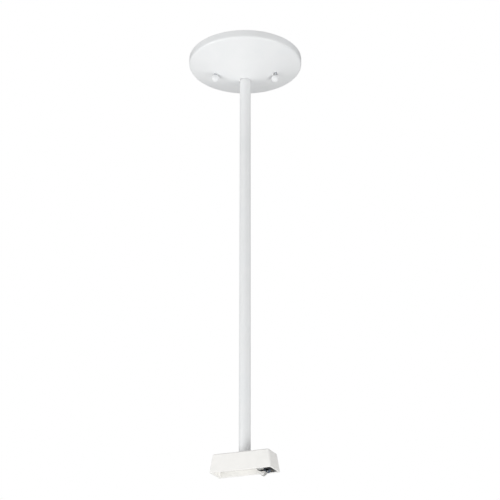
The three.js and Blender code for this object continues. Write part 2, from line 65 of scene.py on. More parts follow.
CAMERA_AZIMUTH = math.radians(22.47)  # how far the camera stands round from -Y towards +X
CAMERA_DISTANCE = 1.442
CAMERA_HEIGHT = -0.848
CAMERA_PITCH = math.radians(23.07)
CAMERA_YAW = math.radians(-0.21)
CAMERA_LENS = 105.84
CAMERA_REACH = 60
FLOOR_HEIGHT = -2.4
OBJECT_MIDDLE = (0, 0, -0.25)
PANEL_SIZE = (0.9, 0.9)
FLOOR_LIGHT_SIZE = (40, 40)
FLOOR_LIGHT_RISE = 0.5


def link(name, data):
    obj = bpy.data.objects.new(name, data)
    bpy.context.scene.collection.objects.link(obj)
    return obj


def make_camera():
    lens = bpy.data.cameras.new("camera")
    lens.lens = CAMERA_LENS
    lens.clip_end = CAMERA_REACH
    camera = link("camera", lens)
    camera.location = (
        CAMERA_DISTANCE * math.sin(CAMERA_AZIMUTH),
        -CAMERA_DISTANCE * math.cos(CAMERA_AZIMUTH),
        CAMERA_HEIGHT,
    )
    camera.rotation_euler = (math.pi / 2 + CAMERA_PITCH, 0, CAMERA_AZIMUTH + CAMERA_YAW)
    bpy.context.scene.camera = camera


def softbox(name, place, aim, size, power):
    """A rectangular panel of light that the camera doesn't see."""
    light = bpy.data.lights.new(name, "AREA")
    light.shape = "RECTANGLE"
    light.size, light.size_y = size
    light.energy = power
    lamp = link(name, light)
    lamp.visible_camera = False
    lamp.location = place
    lamp.rotation_euler = (Vector(aim) - Vector(place)).to_track_quat("-Z", "Y").to_euler()


def add_node(tree, kind, inputs=(), **settings):
    """A shader node. Each of its inputs is a value, or another node's output to link."""
    made = tree.nodes.new("ShaderNode" + kind)
    for key, value in settings.items():
        setattr(made, key, value)
    for socket, value in dict(inputs).items():
        if isinstance(value, bpy.types.NodeSocket):
            tree.links.new(value, made.inputs[socket])
        else:
            made.inputs[socket].default_value = value
    return made


def ramp(tree, place, stops):
    """A colour for a place from 0 to 1, blended between (place, colour) stops."""
    made = add_node(tree, "ValToRGB", {"Fac": place})
    elements = made.color_ramp.elements
    while len(elements) < len(stops):
        elements.new(0.5)
    for element, (at, colour) in zip(elements, stops):
        element.position = at
        element.color = (*colour, 1)
    return made.outputs["Color"]


def by_direction(tree, along, levels):
    """A grey level for each direction of the surround, from (share, level) pairs.

    The share runs from -1, straight away from the unit vector along, to 1, straight towards it.
    """
    place = add_node(tree, "TexCoord").outputs["Generated"]
    share = add_node(tree, "VectorMath", {0: place, 1: along}, operation="DOT_PRODUCT")
    spread = add_node(tree, "MapRange", {"Value": share.outputs["Value"], "From Min": -1})
    stops = [((at + 1) / 2, (level, level, level)) for at, level in levels]
    return ramp(tree, spread.outputs["Result"], stops)


def blend(tree, share, first, second):
    return add_node(tree, "Mix", {0: share, 6: first, 7: second}, data_type="RGBA").outputs[2]


def make_world(seen, shed, mirrored, behind):
    """A plain surround, as bright as seen to the camera.

    shed is the soft light that it sheds and mirrored is what shows in gloss, both by height. Both are
    dimmed by behind, towards the side of the object that is away from the camera.
    """
    world = bpy.data.worlds.new("surround")
    bpy.context.scene.world = world
    world.use_nodes = True
    tree = world.node_tree
    path = add_node(tree, "LightPath").outputs
    away = (-math.sin(CAMERA_AZIMUTH), math.cos(CAMERA_AZIMUTH), 0)
    shed_level = by_direction(tree, (0, 0, 1), shed)
    mirror_level = by_direction(tree, (0, 0, 1), mirrored)
    level = blend(tree, path["Is Glossy Ray"], shed_level, mirror_level)
    dimmed = {0: 1.0, 6: level, 7: by_direction(tree, away, behind)}
    light = add_node(tree, "Mix", dimmed, data_type="RGBA", blend_type="MULTIPLY").outputs[2]
    colour = blend(tree, path["Is Camera Ray"], light, (seen, seen, seen, 1))
    tree.links.new(colour, tree.nodes["Background"].inputs["Color"])


make_camera()
make_world(
    seen=1.0,
    shed=[(-1, 0.2), (0, 0.38), (0.35, 1.1), (0.7, 0.34), (1, 0.12)],
    mirrored=[(-1, 1), (0, 0.94), (0.2, 0.55), (0.5, 0.31), (0.75, 0.62), (1, 0.94)],
    behind=[(-1, 1), (0, 0.9), (0.6, 0.35), (1, 0.3)],
)
softbox("key_light", (-1.43, -1.2, -0.58), OBJECT_MIDDLE, PANEL_SIZE, power=10)
softbox("low_light", (-0.83, -1.06, -1.59), OBJECT_MIDDLE, PANEL_SIZE, power=8)
softbox("fill_light", (1.5, -0.4, -1.34), OBJECT_MIDDLE, PANEL_SIZE, power=12)
over_floor = (0, 0, FLOOR_HEIGHT + FLOOR_LIGHT_RISE)
softbox("floor_light", over_floor, (0, 0, FLOOR_HEIGHT), FLOOR_LIGHT_SIZE, power=1150)
bpy.context.scene.view_settings.view_transform = "Standard"


# ---------------------------------------- outlines and rings of points

CORNER_SHARE = 0.49  # the most of a side that the rounding of one of its corners takes up


def circle(radius, z, count, centre=(0.0, 0.0)):
    angles = [2 * math.pi * i / count for i in range(count)]
    return [(centre[0] + radius * math.cos(a), centre[1] + radius * math.sin(a), z) for a in angles]


def round_outline(radius, count, centre=(0.0, 0.0)):
    return [point[:2] for point in circle(radius, 0, count, centre)]


def arc(centre, radius, start, end, steps):
    """Points on an arc, its two ends included, with angles counted anticlockwise from the first axis."""
    angles = [start + (end - start) * i / steps for i in range(steps + 1)]
    return [(centre[0] + radius * math.cos(a), centre[1] + radius * math.sin(a)) for a in angles]


def rounded(corners, radius, steps=4, closed=True):
    """An outline with its corners rounded. A corner may bring its own radius as a third number."""
    made = []
    count = len(corners)
    for i, corner in enumerate(corners):
        here = Vector(corner[:2])
        own = corner[2] if len(corner) > 2 else radius
        if own == 0 or (not closed and i in (0, count - 1)):
            made.append(tuple(here))
            continue
        before = Vector(corners[i - 1][:2]) - here
        after = Vector(corners[(i + 1) % count][:2]) - here
        half = before.angle(after) / 2
        shorter = min(before.length, after.length)
        reach = min(own / math.tan(half), shorter * CORNER_SHARE)
        centre = here + (before.normalized() + after.normalized()).normalized() * reach / math.cos(half)
        first = here + before.normalized() * reach - centre
        last = here + after.normalized() * reach - centre
        start = math.atan2(first.y, first.x)
        sweep = (math.atan2(last.y, last.x) - start + math.pi) % (2 * math.pi) - math.pi
        made += arc(centre, reach * math.tan(half), start, start + sweep, steps)
    return made


def bar_outline(length, width, middle=0.0, steps=16):
    """A bar with round ends, long along X, its centre at middle."""
    straight = (length - width) / 2
    right = arc((middle + straight, 0), width / 2, -math.pi / 2, math.pi / 2, steps)
    left = arc((middle - straight, 0), width / 2, math.pi / 2, math.pi * 1.5, steps)
    return right + left


def turned_outline(outline, angle):
    c, s = math.cos(angle), math.sin(angle)
    return [(x * c - y * s, x * s + y * c) for x, y in outline]


def rectangle(half_x, half_y, radius, z, corner_steps=4, long_steps=1, short_steps=1):
    """A ring round a rectangle with round corners, anticlockwise, starting on the +X side."""
    ring = []
    for quarter in range(4):
        middle = (quarter + 0.5) * math.pi / 2
        x = math.copysign(half_x - radius, math.cos(middle))
        y = math.copysign(half_y - radius, math.sin(middle))
        start = quarter * math.pi / 2
        corner = arc((x, y), radius, start, start + math.pi / 2, corner_steps)
        ring += corner
        turn = Vector((-math.sin(start + math.pi / 2), math.cos(start + math.pi / 2)))
        side = 2 * ((half_x if quarter % 2 == 0 else half_y) - radius)
        steps = long_steps if quarter % 2 == 0 else short_steps
        last = Vector(corner[-1])
        ring += [tuple(last + turn * side * k / steps) for k in range(1, steps)]
    return [(x, y, z) for x, y in ring]


# ---------------------------------------- meshes

MERGE_DISTANCE = 1e-7
TRIANGLE_ERROR = 1e-9
SHARPEST_CORNER = 1e-5
EASED_ANGLE = math.radians(50)  # an edge that turns by more than this is eased


def merge(bm):
    bmesh.ops.remove_doubles(bm, verts=bm.verts, dist=MERGE_DISTANCE)


def add_band(bm, low, high):
    """Faces between two loops of equally many corners."""
    for i in range(len(low)):
        j = (i + 1) % len(low)
        bm.faces.new((low[i], low[j], high[j], high[i]))


def mesh_from(bm):
    merge(bm)
    mesh = bpy.data.meshes.new("shape")
    bm.to_mesh(mesh)
    bm.free()
    mesh.shade_smooth()
    return mesh


def skin(rings, closed=False):
    """A solid through rings of equally many points. Closed, its last ring joins its first."""
    bm = bmesh.new()
    rows = [[bm.verts.new(point) for point in ring] for ring in rings]
    for low, high in zip(rows, rows[1:] + (rows[:1] if closed else [])):
        add_band(bm, low, high)
    if not closed:
        bm.faces.new(reversed(rows[0]))
        bm.faces.new(rows[-1])
    merge(bm)
    bmesh.ops.recalc_face_normals(bm, faces=bm.faces)
    return mesh_from(bm)


def turned(profile, count=64, closed=True, centre=(0.0, 0.0)):
    """A turned solid from a profile of (radius, height) points."""
    return skin([circle(max(r, 0), z, count, centre) for r, z in profile], closed)


def spindle(profile, count=64, centre=(0.0, 0.0)):
    """A turned solid whose profile starts and ends on the axis."""
    return turned(profile, count, closed=False, centre=centre)


def is_inside(point, outline):
    x, y = point
    hit = False
    for (x0, y0), (x1, y1) in zip(outline, outline[1:] + outline[:1]):
        if (y0 > y) != (y1 > y) and x < x0 + (y - y0) * (x1 - x0) / (y1 - y0):
            hit = not hit
    return hit


def sheet(outline, holes=(), spots=(), lift=None, extra_rings=()):
    """A surface inside an outline and outside its holes. lift gives a flat point's place in space.

    spots are more points on it. extra_rings carry the surface on from the outline.
    """
    lift = lift or (lambda x, y: (x, y, 0))
    loops = [list(loop) for loop in (outline, *holes)]
    points = [Vector(p) for loop in loops for p in loop] + [Vector(p) for p in spots]
    edges = []
    for loop in loops:
        start = len(edges)
        edges += [(start + i, start + (i + 1) % len(loop)) for i in range(len(loop))]
    flat, _, triangles, *_ = delaunay_2d_cdt(points, edges, [], 0, TRIANGLE_ERROR)
    bm = bmesh.new()
    verts = [bm.verts.new(lift(p.x, p.y)) for p in flat]
    for triangle in triangles:
        middle = sum((flat[i] for i in triangle), Vector((0, 0))) / 3
        if is_inside(middle, loops[0]) and not any(is_inside(middle, hole) for hole in loops[1:]):
            bm.faces.new([verts[i] for i in triangle])
    for low, high in zip(extra_rings, extra_rings[1:]):
        add_band(bm, *[[bm.verts.new(point) for point in ring] for ring in (low, high)])
    bmesh.ops.delete(bm, geom=[v for v in bm.verts if not v.link_faces], context="VERTS")
    merge(bm)
    bmesh.ops.recalc_face_normals(bm, faces=bm.faces)
    if sum(face.normal.z * face.calc_area() for face in bm.faces) < 0:
        bmesh.ops.reverse_faces(bm, faces=bm.faces)
    return mesh_from(bm)


def moved(mesh, shift=(0, 0, 0), turn=0.0):
    """A mesh turned about +Z and then shifted."""
    mesh.transform(Matrix.Translation(shift) @ Matrix.Rotation(turn, 4, "Z"))
    return mesh


def joined(*meshes):
    """Several meshes as one."""
    bm = bmesh.new()
    for mesh in meshes:
        bm.from_mesh(mesh)
    return mesh_from(bm)


def applied(obj):
    """An object's mesh with its modifiers applied. The object itself is removed."""
    view = bpy.context.evaluated_depsgraph_get()
    mesh = bpy.data.meshes.new_from_object(obj.evaluated_get(view))
    bpy.data.objects.remove(obj)
    return mesh


def thickened(mesh, thickness, edge, side=-1):
    """A surface given its thickness and an eased edge.

    Side -1 grows it downwards, 1 upwards and 0 both ways.
    """
    obj = link("work", mesh)
    solidify = obj.modifiers.new("thickness", "SOLIDIFY")
    solidify.thickness = thickness
    solidify.offset = side
    ease(obj, edge)
    return applied(obj)


def ease(obj, width):
    bevel = obj.modifiers.new("eased_edges", "BEVEL")
    bevel.width = width
    bevel.segments = 2
    bevel.limit_method = "ANGLE"
    bevel.angle_limit = EASED_ANGLE
    bevel.use_clamp_overlap = True


def eased(mesh, width):
    obj = link("work", mesh)
    ease(obj, width)
    return applied(obj)


def combined(operation, base, *tools):
    """A boolean of closed meshes: DIFFERENCE or UNION."""
    body = link("work", base)
    cutters = [link("tool", tool) for tool in tools]
    for cutter in cutters:
        step = body.modifiers.new("combine", "BOOLEAN")
        step.operation = operation
        step.object = cutter
        step.solver = "EXACT"
    made = applied(body)
    for cutter in cutters:
        bpy.data.objects.remove(cutter)
    return made


def block(low, high, radius=0.0):
    """A box between two corners, with its upright edges rounded."""
    middle = [(a + b) / 2 for a, b in zip(low, high)]
    half_x, half_y = (high[0] - low[0]) / 2, (high[1] - low[1]) / 2
    round_by = max(radius, SHARPEST_CORNER)
    rings = [rectangle(half_x, half_y, round_by, z) for z in (low[2], high[2])]
    return moved(skin(rings), (middle[0], middle[1], 0))


# ---------------------------------------- threads and nuts

ROD_POINTS = 40
TUBE_POINTS = 56
HEX_POINTS = 96
LEVELS_PER_TURN = 8
FLANK_SLOPE = 1.3  # over 1, so that the bottom of the groove is flat
RUN_OUT_TURNS = 0.6
NUT_SINK = 0.35 * MM
NUT_CHAMFER = math.radians(28)


def thread_radius(radius, depth, pitch, z, angle, low, high):
    """The radius of a threaded rod at a height and an angle, run out at its two ends."""
    phase = (z / pitch - angle / (2 * math.pi)) % 1
    groove = depth * min(1, FLANK_SLOPE * abs(2 * phase - 1))
    run_out = max(0, RUN_OUT_TURNS * pitch - min(z - low, high - z))
    return radius - max(groove, min(depth, run_out))


def thread_rings(radius, depth, pitch, low, high, count):
    rings = []
    total = math.ceil((high - low) / pitch * LEVELS_PER_TURN)
    for level in range(total + 1):
        z = low + (high - low) * level / total
        ring = []
        for i in range(count):
            angle = 2 * math.pi * i / count
            r = thread_radius(radius, depth, pitch, z, angle, low, high)
            ring.append((r * math.cos(angle), r * math.sin(angle), z))
        rings.append(ring)
    return rings


def threaded_rod(radius, low, high, depth=0.3 * MM, pitch=0.794 * MM):
    rings = thread_rings(radius, depth, pitch, low, high, ROD_POINTS)
    return skin([circle(0, low, ROD_POINTS), *rings, circle(0, high, ROD_POINTS)])


def threaded_tube(radius, bore, low, high, depth=0.42 * MM, pitch=0.94 * MM):
    rings = thread_rings(radius, depth, pitch, low, high, TUBE_POINTS)
    ease_by = 0.25 * MM
    inner = [(bore + ease_by, high), (bore, high - ease_by), (bore, low + ease_by), (bore + ease_by, low)]
    return skin(rings + [circle(r, z, TUBE_POINTS) for r, z in inner], closed=True)


def hex_ring(flats, z_of):
    """A ring round a hexagon. z_of gives a point's height from its distance to the axis."""
    ring = []
    for i in range(HEX_POINTS):
        angle = 2 * math.pi * i / HEX_POINTS
        off_flat = (angle - math.radians(30)) % math.radians(60) - math.radians(30)
        r = flats / 2 / math.cos(off_flat)
        ring.append((r * math.cos(angle), r * math.sin(angle), z_of(r)))
    return ring


def hex_nut(flats, bore, low, high, turn=0.0):
    """A nut with its corners chamfered at both faces and its hole countersunk."""
    crown = flats / 2 * 0.95
    slope = math.tan(NUT_CHAMFER)
    rings = [
        circle(bore + NUT_SINK, low, HEX_POINTS),
        circle(crown, low, HEX_POINTS),
        hex_ring(flats, lambda r: low + slope * (r - crown)),
        hex_ring(flats, lambda r: high - slope * (r - crown)),
        circle(crown, high, HEX_POINTS),
        circle(bore + NUT_SINK, high, HEX_POINTS),
        circle(bore, high - NUT_SINK, HEX_POINTS),
        circle(bore, low + NUT_SINK, HEX_POINTS),
    ]
    return moved(skin(rings, closed=True), turn=turn)


# ---------------------------------------- materials

DRIFT_FROM, DRIFT_RANGE = 0.34, 0.32  # the values of the noise that a finish's colours are spread over
GLOSS_FROM, GLOSS_TO = 0.3, 0.7
WORN_FROM, WORN_TO = 0.54, 0.62  # how pointed an edge is where the wear starts, and where it is full


def noise(tree, place, size, detail, stretch):
    """Noise whose features are about size across, drawn out along an axis by a small stretch."""
    scaled = add_node(tree, "Mapping", {"Vector": place, "Scale": [s / size for s in stretch]})
    return add_node(
        tree, "TexNoise", {"Vector": scaled.outputs["Vector"], "Scale": 1.0, "Detail": detail}
    ).outputs["Fac"]


def surface(name, colours, patch, roughness, grain, metallic=0.0, stretch=(1, 1, 1), worn=None, **shader):
    """A finish: colours that drift over patches, roughness in a range, and a relief in several grains.

    grain lists (size, height) pairs. worn is a colour for the outer edges. What is the same all over
    is set on the shader itself.
    """
    material = bpy.data.materials.new(name)
    material.use_nodes = True
    tree = material.node_tree
    principled = tree.nodes["Principled BSDF"]
    place = add_node(tree, "TexCoord").outputs["Object"]

    last = len(colours) - 1
    stops = [(DRIFT_FROM + DRIFT_RANGE * i / last, shade) for i, shade in enumerate(colours)]
    colour = ramp(tree, noise(tree, place, patch, 4.0, stretch), stops)
    if worn:
        sharpness = add_node(tree, "NewGeometry").outputs["Pointiness"]
        wear = {"Value": sharpness, "From Min": WORN_FROM, "From Max": WORN_TO}
        edge = add_node(tree, "MapRange", wear)
        colour = blend(tree, edge.outputs["Result"], colour, (*worn, 1))
    tree.links.new(colour, principled.inputs["Base Color"])

    gloss = add_node(
        tree,
        "MapRange",
        {
            "Value": noise(tree, place, patch / 3, 5.0, stretch),
            "From Min": GLOSS_FROM,
            "From Max": GLOSS_TO,
            "To Min": roughness[0],
            "To Max": roughness[1],
        },
    )
    tree.links.new(gloss.outputs["Result"], principled.inputs["Roughness"])

    normal = None
    for size, height in grain:
        bump = add_node(
            tree,
            "Bump",
            {"Height": noise(tree, place, size, 2.0, stretch), "Distance": height, "Strength": 1.0},
        )
        if normal:
            tree.links.new(normal, bump.inputs["Normal"])
        normal = bump.outputs["Normal"]
    tree.links.new(normal, principled.inputs["Normal"])

    principled.inputs["Metallic"].default_value = metallic
    for socket, value in shader.items():
        principled.inputs[socket.replace("_", " ").title().replace("Ior", "IOR")].default_value = value
    return material


INSULATION = dict(
    patch=5 * MM,
    roughness=(0.38, 0.55),
    grain=[(0.4 * MM, 0.012 * MM)],
    stretch=(1, 1, 0.1),
)
SPRING_STRIP = dict(
    patch=3 * MM,
    grain=[(0.12 * MM, 0.003 * MM)],
    metallic=1.0,
    stretch=(0.15, 1, 1),
)
LOOKS = {
    "white_enamel": dict(
        colours=[(0.85, 0.865, 0.87), (0.875, 0.885, 0.89), (0.86, 0.875, 0.885)],
        patch=45 * MM,
        roughness=(0.34, 0.44),
        grain=[(2.2 * MM, 0.012 * MM), (0.5 * MM, 0.004 * MM)],
        coat_weight=0.12,
        coat_roughness=0.25,
    ),
    "white_plastic": dict(
        colours=[(0.94, 0.93, 0.905), (0.955, 0.945, 0.92), (0.925, 0.92, 0.895)],
        patch=22 * MM,
        roughness=(0.42, 0.52),
        grain=[(0.35 * MM, 0.01 * MM), (5 * MM, 0.02 * MM)],
        specular_ior_level=0.45,
    ),
    "zinc_steel": dict(
        colours=[(0.56, 0.59, 0.64), (0.68, 0.69, 0.69), (0.66, 0.65, 0.6)],
        patch=6 * MM,
        roughness=(0.26, 0.42),
        grain=[(0.8 * MM, 0.006 * MM), (0.2 * MM, 0.003 * MM)],
        metallic=1.0,
        stretch=(1, 0.35, 1),
        worn=(0.8, 0.8, 0.79),
    ),
    "dark_plastic": dict(
        colours=[(0.022, 0.023, 0.026), (0.034, 0.035, 0.038), (0.028, 0.028, 0.031)],
        patch=7 * MM,
        roughness=(0.4, 0.58),
        grain=[(0.25 * MM, 0.012 * MM), (3 * MM, 0.02 * MM)],
        worn=(0.07, 0.07, 0.075),
    ),
    "fibre": dict(
        colours=[(0.8, 0.79, 0.75), (0.87, 0.86, 0.83), (0.83, 0.82, 0.78)],
        patch=4 * MM,
        roughness=(0.72, 0.88),
        grain=[(0.5 * MM, 0.03 * MM), (0.15 * MM, 0.012 * MM)],
        stretch=(0.4, 1, 1),
    ),
    "bright_contact": dict(
        colours=[(0.72, 0.73, 0.72), (0.86, 0.86, 0.84), (0.7, 0.68, 0.62)],
        roughness=(0.16, 0.34),
        **SPRING_STRIP,
        worn=(0.9, 0.9, 0.88),
    ),
    "blued_contact": dict(
        colours=[(0.07, 0.1, 0.17), (0.15, 0.19, 0.26), (0.2, 0.2, 0.21)],
        roughness=(0.24, 0.4),
        **SPRING_STRIP,
        worn=(0.42, 0.44, 0.48),
    ),
    "brass": dict(
        colours=[(0.33, 0.27, 0.16), (0.42, 0.34, 0.2), (0.36, 0.29, 0.17)],
        patch=1.2 * MM,
        roughness=(0.22, 0.4),
        grain=[(0.2 * MM, 0.005 * MM)],
        metallic=1.0,
        worn=(0.6, 0.52, 0.34),
    ),
    "green_paint": dict(
        colours=[(0.03, 0.22, 0.09), (0.06, 0.32, 0.14), (0.04, 0.26, 0.1)],
        patch=3 * MM,
        roughness=(0.25, 0.4),
        grain=[(0.3 * MM, 0.006 * MM)],
        metallic=0.75,
        worn=(0.45, 0.5, 0.42),
    ),
    "black_insulation": dict(
        colours=[(0.012, 0.012, 0.013), (0.03, 0.03, 0.03), (0.018, 0.018, 0.018)],
        **INSULATION,
    ),
    "white_insulation": dict(
        colours=[(0.78, 0.77, 0.73), (0.84, 0.83, 0.8), (0.8, 0.79, 0.76)],
        **INSULATION,
    ),
    "green_insulation": dict(
        colours=[(0.03, 0.25, 0.09), (0.05, 0.33, 0.13), (0.04, 0.28, 0.1)],
        **INSULATION,
    ),
}
MATERIALS = {slot: surface(slot, **look) for slot, look in LOOKS.items()}
COPPER = surface(
    "copper",
    colours=[(0.6, 0.27, 0.16), (0.8, 0.42, 0.28), (0.68, 0.33, 0.2)],
    patch=0.8 * MM,
    roughness=(0.25, 0.42),
    grain=[(0.15 * MM, 0.004 * MM)],
    metallic=1.0,
)


# ---------------------------------------- putting a piece in place

LARGE_FACES_FIRST = 100  # so that a flat face stays flat up to its eased edge


def paint(obj, node):
    """Gives an object the finish of a CAD node."""
    obj.data.materials.clear()
    obj.data.materials.append(MATERIALS[SLOT_OF[node]])


def show(node, mesh):
    """A finished piece that stands for a CAD node, on that node's body and in its finish."""
    obj = link("fine_" + node, mesh)
    paint(obj, node)
    obj.data.shade_smooth()
    smooth = obj.modifiers.new("even_shading", "WEIGHTED_NORMAL")
    smooth.weight = LARGE_FACES_FIRST
    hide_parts(node)
    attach(obj, BODY_OF[node])


def span(node):
    """A CAD node's lowest and highest height."""
    low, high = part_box(node)
    return low.z, high.z


for node, obj in frame["nodes"].items():
    paint(obj, node)


# ---------------------------------------- canopy

CANOPY_TURN = math.radians(22.5)
CANOPY_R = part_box("canopy")[1].x
CANOPY_WALL = 9 * MM
NOSE_R = 55 * MM
NOSE_ANGLE = math.radians(18)
FLANK_R = 800 * MM
SHOULDER_R = 3 * MM
LIP = 2.5 * MM
LIP_BEND_R = 0.7 * MM
CANOPY_SHEET = 1 * MM
CANOPY_HOLE_R = 6.9 * MM
CANOPY_HOLE_AT = (-0.5 * MM, 0.35 * MM)
SLOT_WIDTH = 6 * MM
SLOT_BACK = 2.6 * MM
SLOT_REACH = 5.8 * MM
STUD_REACH = 33.5 * MM
CANOPY_POINTS = 192
CANOPY_STEP = 2 * MM

FLANK_CENTRE_R = -(FLANK_R - NOSE_R) * math.sin(NOSE_ANGLE)
FLANK_CENTRE_Z = -CANOPY_WALL + math.sqrt(FLANK_R**2 - (CANOPY_R - FLANK_CENTRE_R) ** 2)
NOSE_CENTRE_Z = FLANK_CENTRE_Z - (FLANK_R - NOSE_R) * math.cos(NOSE_ANGLE)


def dome_height(r):
    """The outer face's height at a radius: a small nose arc, then the long flat arc of the flank."""
    if r < NOSE_R * math.sin(NOSE_ANGLE):
        return NOSE_CENTRE_Z - math.sqrt(NOSE_R**2 - r**2)
    return FLANK_CENTRE_Z - math.sqrt(FLANK_R**2 - (r - FLANK_CENTRE_R) ** 2)


def clear_of(loops, gap, spots):
    """The spots that are further than the gap from every point of some loops."""
    borders = [Vector(p) for loop in loops for p in loop]
    return [p for p in spots if min((Vector(p) - b).length for b in borders) > gap]


def canopy_mesh():
    """The pressed dome with its shoulder, wall and lip, and with its holes pierced."""
    shoulder_x = CANOPY_R - SHOULDER_R
    reach = shoulder_x - FLANK_CENTRE_R
    shoulder_z = FLANK_CENTRE_Z - math.sqrt((FLANK_R - SHOULDER_R) ** 2 - reach**2)
    meet = math.atan2(reach, FLANK_CENTRE_Z - shoulder_z) - math.pi / 2
    edge_r = shoulder_x + SHOULDER_R * math.cos(meet)
    profile = arc((shoulder_x, shoulder_z), SHOULDER_R, meet, 0, 10)
    bend = (CANOPY_R - LIP_BEND_R, -LIP_BEND_R)
    profile += arc(bend, LIP_BEND_R, 0, math.pi / 2, 6) + [(CANOPY_R - LIP, 0)]

    slots = []
    for side in (-1, 1):
        bar = bar_outline(SLOT_BACK + SLOT_REACH, SLOT_WIDTH)
        shift = side * (SLOT_BACK - SLOT_REACH) / 2
        across = turned_outline(bar, math.pi / 2)
        slots.append([(x + side * STUD_REACH, y + shift) for x, y in across])
    holes = [round_outline(CANOPY_HOLE_R, 64, CANOPY_HOLE_AT), *slots]

    spots = []
    for i in range(int(edge_r / CANOPY_STEP)):
        r = edge_r - CANOPY_STEP * (i + 1)
        spots += round_outline(r, max(12, round(2 * math.pi * r / CANOPY_STEP)))
    outer_face = sheet(
        round_outline(edge_r, CANOPY_POINTS),
        holes,
        clear_of(holes, 0.8 * MM, spots),
        lambda x, y: (x, y, dome_height(math.hypot(x, y))),
        [circle(r, z, CANOPY_POINTS) for r, z in profile],
    )
    return moved(thickened(outer_face, CANOPY_SHEET, side=1, edge=0.18 * MM), turn=CANOPY_TURN)


show("canopy", canopy_mesh())


# ---------------------------------------- studs and ball nuts

BALL_R = 4.4 * MM
STUD_R = 2.05 * MM
CLEARANCE = 0.3 * MM
STUD_FLATS = 8.7 * MM
BALL_FLAT_EDGE = math.radians(5)
BALL_STEPS = 24


def ball_nut_mesh(low, high):
    """A ball cut flat on top, the flat's rim eased, with a blind hole for the stud."""
    centre = low + BALL_R
    start = math.acos((high - centre) / BALL_R) + BALL_FLAT_EDGE
    outer = []
    for i in range(BALL_STEPS + 1):
        angle = math.pi + (start - math.pi) * i / BALL_STEPS
        outer.append((BALL_R * math.sin(angle), centre + BALL_R * math.cos(angle)))
    bore = STUD_R + CLEARANCE
    bore_end = span("canopy_stud_left")[0] - CLEARANCE
    rim = [(outer[-1][0] - 0.25 * MM, high), (bore + 0.3 * MM, high), (bore, high - 0.3 * MM)]
    return spindle([*outer, *rim, (bore, bore_end), (0, bore_end)])


def stud_mesh(low, high):
    """A threaded rod with a driver slot in its upper end."""
    slot = block((-3 * MM, -0.4 * MM, high - 0.9 * MM), (3 * MM, 0.4 * MM, high + 1 * MM))
    return combined("DIFFERENCE", threaded_rod(STUD_R, low, high), slot)


for side, word in ((-1, "left"), (1, "right")):
    spot = (side * STUD_REACH * math.cos(CANOPY_TURN), side * STUD_REACH * math.sin(CANOPY_TURN), 0)
    stud = stud_mesh(*span("canopy_stud_" + word))
    show("canopy_stud_" + word, moved(stud, spot, turn=side))  # the studs' slots point different ways
    nut = hex_nut(STUD_FLATS, STUD_R + CLEARANCE, *span("stud_lock_nut_" + word), CANOPY_TURN)
    show("stud_lock_nut_" + word, moved(nut, spot))
    show("ball_nut_" + word, moved(ball_nut_mesh(*span("ball_nut_" + word)), spot))


# ---------------------------------------- straps and the stem's ceiling end

STRAP_WIDTH = 16 * MM
NIPPLE_R = 5 * MM
NIPPLE_BORE_R = 3.9 * MM
NIPPLE_HOLE_R = NIPPLE_R + CLEARANCE
HOLE_POINTS = 48
BOX_SCREW_NEAR = 35 * MM
BOX_SCREW_FAR = 44.5 * MM
BOX_SLOT_WIDTH = 5 * MM
GROUND_SCREW_Y = -20 * MM
WASHER_R = 8.4 * MM
NUT_FLATS = 14.3 * MM
LOCK_NUT_FLATS = 13.5 * MM
CANOPY_STRAP_LENGTH = 82 * MM
GROUND_SCREW_HOLE_R = 2.2 * MM


def strap_mesh(node, length, holes, turn):
    """A flat bar with round ends, with points inside it that keep its faces from being slivers."""
    low, high = span(node)
    outline = bar_outline(length, STRAP_WIDTH, steps=32)
    holes = [round_outline(NIPPLE_HOLE_R, HOLE_POINTS), *holes]
    step, gap = 2.5 * MM, 1 * MM
    columns, rows = int(length / 2 / step), int((STRAP_WIDTH / 2 - gap) / step)
    grid = [(i * step, j * step) for i in range(-columns, columns + 1) for j in range(-rows, rows + 1)]
    spots = clear_of((outline, *holes), gap, grid)
    flat = sheet(outline, holes, [p for p in spots if is_inside(p, outline)])
    return moved(thickened(flat, high - low, edge=0.25 * MM), (0, 0, high), turn)


def box_strap_mesh():
    low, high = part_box("box_strap")
    slot_length = BOX_SCREW_FAR - BOX_SCREW_NEAR + BOX_SLOT_WIDTH
    middle = (BOX_SCREW_NEAR + BOX_SCREW_FAR) / 2
    slots = [bar_outline(slot_length, BOX_SLOT_WIDTH, side * middle) for side in (-1, 1)]
    tapped = round_outline(GROUND_SCREW_HOLE_R, 32, (GROUND_SCREW_Y, 0))
    return strap_mesh("box_strap", high.y - low.y, [tapped, *slots], math.pi / 2)


def canopy_strap_mesh():
    holes = [round_outline(STUD_R + CLEARANCE, 32, (side * STUD_REACH, 0)) for side in (-1, 1)]
    return strap_mesh("canopy_strap", CANOPY_STRAP_LENGTH, holes, CANOPY_TURN)


def toothed_washer_mesh(low, high):
    """A lock washer whose rim is cut into teeth, each twisted a little out of the flat."""
    teeth, tooth_depth, twist = 14, 1.4 * MM, 0.22 * MM
    tooth_share = 0.68  # of each tooth and the gap beside it
    root = WASHER_R - tooth_depth
    outline = []
    for i in range(teeth):
        start = 2 * math.pi * i / teeth
        for share, r in ((0, root), (0.12, WASHER_R), (0.56, WASHER_R), (tooth_share, root)):
            angle = start + share * 2 * math.pi / teeth
            outline.append((r * math.cos(angle), r * math.sin(angle)))

    def twisted(x, y):
        past_root = max(0, math.hypot(x, y) - root) / tooth_depth
        place = (math.atan2(y, x) / (2 * math.pi) * teeth) % 1
        return x, y, twist * past_root * (place - tooth_share / 2) / (tooth_share / 2)

    flat = sheet(outline, [round_outline(NIPPLE_HOLE_R, HOLE_POINTS)], lift=twisted)
    return moved(thickened(flat, high - low, edge=0.08 * MM), (0, 0, high))


